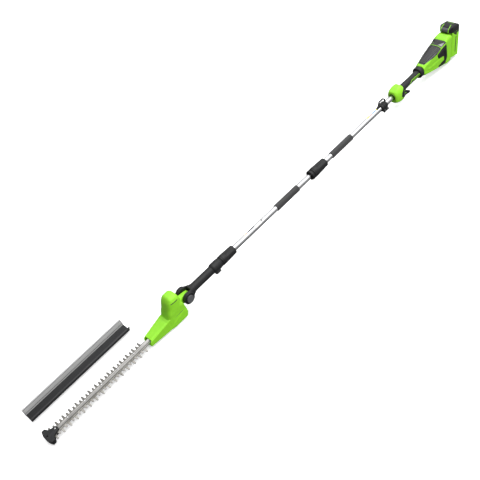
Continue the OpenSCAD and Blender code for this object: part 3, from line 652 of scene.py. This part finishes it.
replace_soft("fork", black, 0.9, 30, fork_detail)
replace_soft("pivot_button", grey, 0.5, 5)
replace_soft("pivot_pin", inner_steel, 0.5, 2)
replace_soft("front_ferrule", black, 0.7, 6)
replace_soft("rear_ferrule", black, 0.7, 6)
replace_soft("front_coupling_nut", black, 0.7, 5, flutes(990, 1042, 18, 0.5))
replace_soft("rear_coupling_nut", black, 0.7, 5, flutes(1608, 1669, 18, 0.5))


# ---------- poles ----------
def span(node):
    """Front end, rear end and outer radius of a node round the pole, in mm."""
    low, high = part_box(node)
    return (low.x - START[0]) / MM, (high.x - START[0]) / MM, (high.z - low.z) / 2 / MM


def pole(node):
    x0, x1, _ = span(node)
    wall = 1.5
    profile = fillet([(x0, TUBE_R - wall, 0.4), (x0, TUBE_R, 0.5), (x1, TUBE_R, 0.5),
                      (x1, TUBE_R - wall, 0.4)], 3)
    add_piece(f"{node}_drawn", lathe(profile), aluminium, BODY_OF[node], "pole_aluminium", node)


def foam_sleeve(node):
    x0, x1, r = span(node)
    profile = fillet([(x0, TUBE_R + 0.05, 0), (x0, r - 0.1, 2.4), (x1, r - 0.1, 2.4),
                      (x1, TUBE_R + 0.05, 0)], 5)
    mesh = lathe(resampled(profile, 2.5), 72)

    def skin(p, n):
        """Uneven swell of soft foam."""
        x, y, z = p.T
        t = np.arctan2(y, z)
        out = smooth_step((np.hypot(y, z) - 14) / 2)
        waves = np.sin(x * 0.31 + 2 * np.sin(t)) * np.cos(3 * t + x * 0.05) + 0.6 * np.sin(x * 0.83 + 5 * t)
        return -0.1 * out * (1 + 0.6 * waves)
    carve(mesh, skin)
    piece = add_piece(f"{node}_sleeve", mesh, foam_black, BODY_OF[node], "foam", node)


pole("mid_tube")
pole("rear_tube")
foam_sleeve("front_foam_grip")
foam_sleeve("rear_foam_grip")

# Stickers are plain patches of film.
for name, material, body, x0, x1, t0, t1 in (
        ("film_rear_yellow", film_yellow, "rear_section", 2002, 2018, -14, 40),
        ("film_rear_pink", film_pink, "rear_section", 2018.2, 2040, -14, 40),
        ("film_rear_blue", film_blue, "rear_section", 2040.2, 2071, -14, 40),
        ("film_rear_end", film_yellow, "rear_section", 2071.2, 2083, -14, 40),
        ("film_mid_white", film_white, "middle_section", 1188, 1230, -52, 8),
        ("film_mid_dark", film_dark, "middle_section", 1150, 1187.8, -8, 36),
        ("film_mid_end", film_dark, "middle_section", 1230.2, 1236, -30, 30),
        ("film_mid_orange", film_orange, "middle_section", 1126, 1140, 4, 40)):
    wrapped(name, material, body, "pole_aluminium", [(x0, t0), (x1, t0), (x1, t1), (x0, t1)], TUBE_R, 0.12)

# ---------- strap clamp ----------
replace_soft("strap_clamp_upper", black, 0.6, 5)
replace_soft("strap_clamp_lower", black, 0.6, 5)
replace_bevel("clamp_bolts", dark_steel, 0.4)


# ---------- trigger housing and grip ----------
def housing_detail(p, n):
    """Side line, ring round the pole and a screw hole in the front."""
    x, y, z = p.T
    side = smooth_step((np.abs(n[:, 1]) - 0.35) * 3)
    rise = -0.8 * groove(line_distance(x, z, [(2203, -22), (2222, -30), (2238, -26)]), 2) * side
    front = smooth_step((-n[:, 0] - 0.5) * 4)
    rise -= 0.8 * groove(np.abs(np.hypot(y, z) - 24), 1.6) * front
    return rise - 1.6 * raised(np.hypot(y - 16, z - 17) - 2.2, 1.6) * front


def round_barrel(p):
    """Rounds the barrel round the pole into an egg, and leaves the bracket behind it."""
    x, y, z = p.T
    sag, power = 5, 2.5
    stations = [2196, 2200, 2207, 2218, 2232, 2250, 2258, 2262]
    size = np.interp(x, stations, [0.62, 0.76, 0.88, 0.96, 1.0, 1.0, 0.95, 0.9])
    norm = (np.abs(y / 33.5) ** power + np.abs((z + sag) / 46) ** power) ** (1 / power)
    shrink = np.where(x < stations[-1], size / np.maximum(norm, size), 1)
    return np.stack([x, y * shrink, (z + sag) * shrink - sag], axis=1)


barrel = reshape(softened(whole_of("trigger_housing_left"), 1.0, 16), round_barrel)
barrel = carve(barrel, housing_detail)
shells = surface_of(*halves(barrel, "trigger_cover", lime, "lime_shell", "trigger_housing"))
RIM = [(2259, 26), (2250, 19), (2239, 9), (2233, -8), (2238, -18), (2250, -25), (2259, -25)]
WEB = [(2264, -16), (2259, -30), (2268, -43), (2284, -47), (2291, -40), (2291, -16)]
for side, hand in SIDES:
    for name, outline in (("rim", RIM), ("web", WEB)):
        inlay(f"trigger_{name}_{hand}", black, "rear_section", "black_plastic", shells, outline,
              *from_side(side), 0.35, 0.5, 1.5)
replace_soft("pole_bushing", black, 0.6, 3)
replace_soft("trigger", black, 0.5, 8)
replace_soft("lock_off_button", black, 0.4, 3)


GRIP_R = 18
ARC = 0.32  # mm round the grip for each degree


def grip_detail(p, n):
    """Fine ribs under the fingers and the edge of the soft panel."""
    x, y, z = p.T
    out = smooth_step((np.hypot(y, z) - 15) / 1)
    turn = np.degrees(np.arctan2(np.abs(y), z))
    ribs = 0.5 + 0.5 * np.cos(x * 2 * math.pi / 4.2)
    pad = raised(np.abs(turn - 155) - 22, 8) * raised(np.abs(x - 2356) - 34, 5)
    edge = groove(line_distance(x, turn * ARC, [(2316, 31), (2342, 16), (2406, 19), (2408, 32)]), 1.2)
    return -out * (0.5 * ribs * pad + 0.3 * edge)


grip = carve(softened(whole_of("grip_shell_left"), 0.9, 4), grip_detail)
grip_skin = surface_of(*halves(grip, "grip_cover", soft_grip, "black_plastic", "grip_shell"))
BEND = [(2304, 112), (2320, 101), (2345, 60), (2403, 66), (2409, 98)]
HALF_LINE = 1.6
for side, hand in SIDES:
    for k, ((xa, ta), (xb, tb)) in enumerate(zip(BEND, BEND[1:])):
        length = math.hypot(xb - xa, (tb - ta) * ARC)
        dx, dt = (tb - ta) * ARC / length * HALF_LINE, -(xb - xa) / length * HALF_LINE / ARC
        wrapped(f"grip_line_{hand}_{k}", lime_trim, "rear_section", "lime_shell",
                [(xa + dx, side * (ta + dt)), (xb + dx, side * (tb + dt)), (xb - dx, side * (tb - dt)),
                 (xa - dx, side * (ta - dt))], GRIP_R, 0.3, 10, 3, grip_skin)
    wrapped(f"grip_dash_{hand}", lime_trim, "rear_section", "lime_shell",
            [(2356, side * 82), (2400, side * 87), (2400, side * 98), (2351, side * 93)],
            GRIP_R, 0.3, 10, 3, grip_skin)
replace_soft("grip_collar", black, 0.7, 5)


# ---------- power head ----------
def power_detail(p, n):
    """Raised fin and ridge on each flank, a slot along the fin and a seam ahead of the battery."""
    x, y, z = p.T
    side = smooth_step((np.abs(n[:, 1]) - 0.3) * 3)
    fin = [(2464, -2), (2588, -1), (2590, -29), (2524, -15), (2470, -13)]
    ridge = [(2430, 40), (2537, 37), (2549, 7), (2468, 13)]
    lower = [(2430, 0), (2462, -18), (2520, -44), (2570, -76), (2430, -76)]
    flank = 1 - raised(area_distance(x, z, fin), 3) - raised(area_distance(x, z, ridge), 5) * 0.6
    flank -= raised(area_distance(x, z, lower), 5) * 0.8
    rise = -1.5 * flank * side * smooth_step((2600 - x) / 6) * smooth_step((x - 2436) / 8)
    rise -= 1.0 * groove(line_distance(x, z, [(2474, 0), (2576, -21)]), 2.4) * side
    return rise - 0.8 * groove(line_distance(x, z, [(2617, 90), (2622, 20), (2617, -80)]), 2.0)


power = carve(softened(whole_of("powerhead_shell_left"), 1.2, 14), power_detail)
covers = halves(power, "power_cover", lime, "lime_shell", "powerhead_shell")


def top_detail(p, n):
    """Raised panel, seam and slats of the top insert."""
    x, y, z = p.T
    outward = smooth_step((n[:, 2] - 0.2) * 4)
    half = 17 + (x - 2450) * 0.14
    panel = raised(np.maximum(np.abs(y) - half, np.abs(x - 2506) - 52), 2.5)
    seam = groove(np.abs(x - 2573), 2.6)
    slats = groove(np.abs((x - 2584) % 7 - 3.5), 2.2) * (x > 2584) * (x < 2606) * (np.abs(y) < 26)
    return -outward * (1.2 * (1 - panel) * (x < 2568) + 0.5 * seam + 0.9 * slats)


def louvres(p, n):
    """Slanted air slots in a side vent."""
    x, y, z = p.T
    x0, x1, pitch, depth = 2592, 2608, 5.2, 1.3
    along = x + z * 0.25
    inside = smooth_step((along - x0) / 2) * smooth_step((x1 - along) / 2) * (np.abs(z + 6) < 30)
    side = smooth_step((np.abs(n[:, 1]) - 0.4) * 4)
    return -depth * side * inside * raised(np.abs((along - x0) % pitch - pitch / 2) - pitch * 0.22, 1.0)


top_piece = replace_soft("top_vent_cover", black_gloss, 0.8, 6, top_detail)
for _, hand in SIDES:
    covers.append(replace_soft(f"side_vent_{hand}", black, 0.7, 5, louvres, f"side_vent_shape_{hand}"))
over, flanks = surface_of(top_piece), surface_of(*covers)
inlay("top_line", lime_trim, "rear_section", "lime_shell", over,
      [(2571.8, -37), (2574.2, -37), (2574.2, 37), (2571.8, 37)], from_top, DOWN, 0.5, 0.4, 1.2)
for side, hand in SIDES:
    inlay(f"flank_bridge_{hand}", black, "rear_section", "black_plastic", flanks,
          [(2546, 26), (2549, 33), (2574, 44), (2612, 54), (2616, 34), (2598, 40)],
          *from_side(side, beside=80), 0.5, 0.5, 1.6)
    # Painted highlight: thin grey strips along both edges of the raised panel on the top insert.
    inlay(f"top_edge_highlight_{hand}", grey, "rear_section", "grey_plastic", over,
          [(2456, side * 18), (2558, side * 32.4), (2558, side * 34), (2456, side * 19.6)],
          from_top, DOWN, 0.5, 0.4, 1.6)
# Painted highlight: a pale grey triangle on the top insert's left side, where a glossy highlight falls.
inlay("top_painted_highlight", painted_highlight_grey, "rear_section", "grey_plastic", over, [(2579, -12), (2605, -31), (2580, -32)],
      from_top, DOWN, 0.35, 0.4, 1.6)


# ---------- battery ----------
LEAN = math.radians(12)
PACK_X, PACK_Z = 2648, -52  # the pack's lower front edge


def in_battery(p):
    """Battery coordinates: depth, width and height in the leaning battery."""
    x, y, z = p[:, 0] - PACK_X, p[:, 1], p[:, 2] - PACK_Z
    return x * math.cos(LEAN) - z * math.sin(LEAN), y, x * math.sin(LEAN) + z * math.cos(LEAN)


def case_detail(p, n):
    """Grooves along the sides and the back, and a frame on each side."""
    x, y, z = in_battery(p)
    side = smooth_step((np.abs(n[:, 1]) - 0.4) * 3)
    back = smooth_step((n[:, 0] - 0.4) * 3)
    rise = -1.0 * groove(np.abs(x - 10.5), 2.0) * side - 0.6 * groove(np.abs(x - 14.5), 1.4) * side
    rise -= 0.7 * groove(line_distance(x, z, [(24, 14), (52, 14), (52, 112), (24, 112), (24, 14)]), 1.6) * side
    return rise - 0.8 * groove(np.abs(np.abs(y) - 20), 2.0) * back * raised(np.abs(z - 66) - 54, 3)


def cap_detail(p, n):
    """Lines on top and round the cap, and a dimple on each side."""
    x, y, z = in_battery(p)
    top = smooth_step((n[:, 2] - 0.5) * 4)
    side = smooth_step((np.abs(n[:, 1]) - 0.4) * 3)
    rise = -0.9 * groove(line_distance(x, np.abs(y), [(4, 0), (4, 20), (44, 22), (48, 0)]), 2.0) * top
    rise -= 1.2 * raised(np.hypot(x - 10, z - 148) - 2.6, 1.6) * side
    return rise - 0.7 * groove(line_distance(x, z, [(-4, 142), (20, 140), (30, 146), (60, 143)]), 1.8) * side


case = replace_soft("battery_case", lime, 1.0, 8, case_detail)
cap = replace_soft("battery_cap", black, 0.8, 24, cap_detail)
replace_soft("battery_latch", grey, 0.5, 4)
pack = surface_of(case, cap)


def lean_at(x, y, z):
    """Point given in battery coordinates."""
    return at(PACK_X + x * math.cos(LEAN) + z * math.sin(LEAN), y,
              PACK_Z - x * math.sin(LEAN) + z * math.cos(LEAN))


def over_pack(u, v):
    return lean_at(u, v, 200)


def before_pack(u, v):
    return lean_at(-60, u, v)


pack_back = Vector((math.cos(LEAN), 0, -math.sin(LEAN)))
pack_down = Vector((-math.sin(LEAN), 0, -math.cos(LEAN)))
for side, hand in SIDES:
    beyond, inward = from_side(side, lean_at)
    inlay(f"cap_skirt_{hand}", black, "battery", "black_plastic", pack,
          [(0, 133), (14, 121), (22, 120), (28, 111), (33, 111), (36, 124), (60, 124), (60, 133)],
          beyond, inward, 0.35, 0.5, 1.8)
    inlay(f"case_stripe_{hand}", black, "battery", "black_plastic", pack,
          [(27, 22), (33, 20), (33, 106), (27, 104)], beyond, inward, 0.3, 0.4, 1.6)
    inlay(f"latch_cheek_{hand}", lime_trim, "battery", "lime_shell", pack,
          [(side * 18.8, 134), (side * 24, 134), (side * 24, 152), (side * 21, 157), (side * 18.8, 157)],
          before_pack, pack_back, 0.5, 0.4, 1.6)
    inlay(f"latch_arch_{hand}", lime_trim, "battery", "lime_shell", pack,
          [(-12, side * 19), (8, side * 17), (9, side * 20), (-12, side * 23)],
          over_pack, pack_down, 0.4, 0.4, 1.6)
inlay("cap_band", lime_trim, "battery", "lime_shell", pack, [(32, -17), (35, -17), (35, 17), (32, 17)],
      over_pack, pack_down, 0.35, 0.4, 1.6)

# ---------- blade sheath ----------
SHEATH_Y = 161
inner = surface_of(replace_bevel("blade_sheath", sheath_black, 0.5))
for name, low, high in (("sheath_band", -63, -47.6), ("sheath_strip", -70.5, -65)):
    inlay(name, sheath_grey, "sheath", "black_plastic", inner,
          [(-21, low), (510, low), (510, high), (-21, high)],
          lambda u, v: at(u, SHEATH_Y, v), Vector((0, 1, 0)), 0.3, 0.4, 4)
inlay("sheath_lip", sheath_grey, "sheath", "black_plastic", inner,
      [(-22, 192), (511, 192), (511, 198), (-22, 198)], lambda u, v: at(u, v, 0), DOWN, 0.25, 0.4, 3)


# ---------- stage ----------
def stage(reach=30, gap=0.0004):
    """Plain white floor, just under the object."""
    bm = bmesh.new()
    bm.faces.new([bm.verts.new((x * reach, y * reach, FLOOR_Z - gap))
                  for x, y in ((-1, -1), (1, -1), (1, 1), (-1, 1))])
    mesh = to_mesh(bm, "floor")
    mat, _, shader = nodes_for("floor_pale")
    shader.inputs["Base Color"].default_value = (1, 1, 1, 1)
    shader.inputs["Roughness"].default_value = 0.9
    shader.inputs["Emission Color"].default_value = (1, 1, 1, 1)
    shader.inputs["Emission Strength"].default_value = 0.35
    mesh.materials.append(mat)
    floor = bpy.data.objects.new("floor", mesh)
    scene.collection.objects.link(floor)
    floor.visible_glossy = False
    floor.visible_diffuse = False


def lamp(name, place, size, watts, target=(1.3, 0, 0)):
    """Square lamp that lights the object and isn't mirrored in it."""
    data = bpy.data.lights.new(name, "AREA")
    data.shape = "SQUARE"
    data.size = size
    data.energy = watts
    obj = bpy.data.objects.new(name, data)
    obj.location = place
    obj.rotation_mode = "QUATERNION"
    obj.rotation_quaternion = (Vector(target) - Vector(place)).to_track_quat("-Z", "Y")
    obj.visible_glossy = False
    scene.collection.objects.link(obj)


def studio():
    """Light from above and a little behind the battery, dark near the floor, so that round parts
    show a band of white."""
    world = bpy.data.worlds.new("studio")
    world.use_nodes = True
    tree = world.node_tree
    coords = tree.nodes.new("ShaderNodeTexCoord")
    dot = tree.nodes.new("ShaderNodeVectorMath")
    dot.operation = "DOT_PRODUCT"
    dot.inputs[1].default_value = Vector((0.37, -0.05, 0.93)).normalized()
    tree.links.new(coords.outputs["Generated"], dot.inputs[0])
    share = tree.nodes.new("ShaderNodeMapRange")
    share.inputs["From Min"].default_value = -1
    share.inputs["From Max"].default_value = 1
    tree.links.new(dot.outputs["Value"], share.inputs["Value"])
    sky = ramp(tree, share.outputs["Result"], [(0.30, (0.05,) * 3), (0.50, (0.13,) * 3), (0.72, (0.19,) * 3),
                                               (0.87, (0.34,) * 3), (0.94, (0.92,) * 3), (1.0, (1.0,) * 3)])
    background = tree.nodes["Background"]
    tree.links.new(sky, background.inputs["Color"])
    background.inputs["Strength"].default_value = 2.3
    scene.world = world


stage()
studio()
lamp("key", (2.6, -0.6, 3.0), 1.6, 30)
lamp("fill", (1.9, -3.2, 1.5), 2.5, 75)
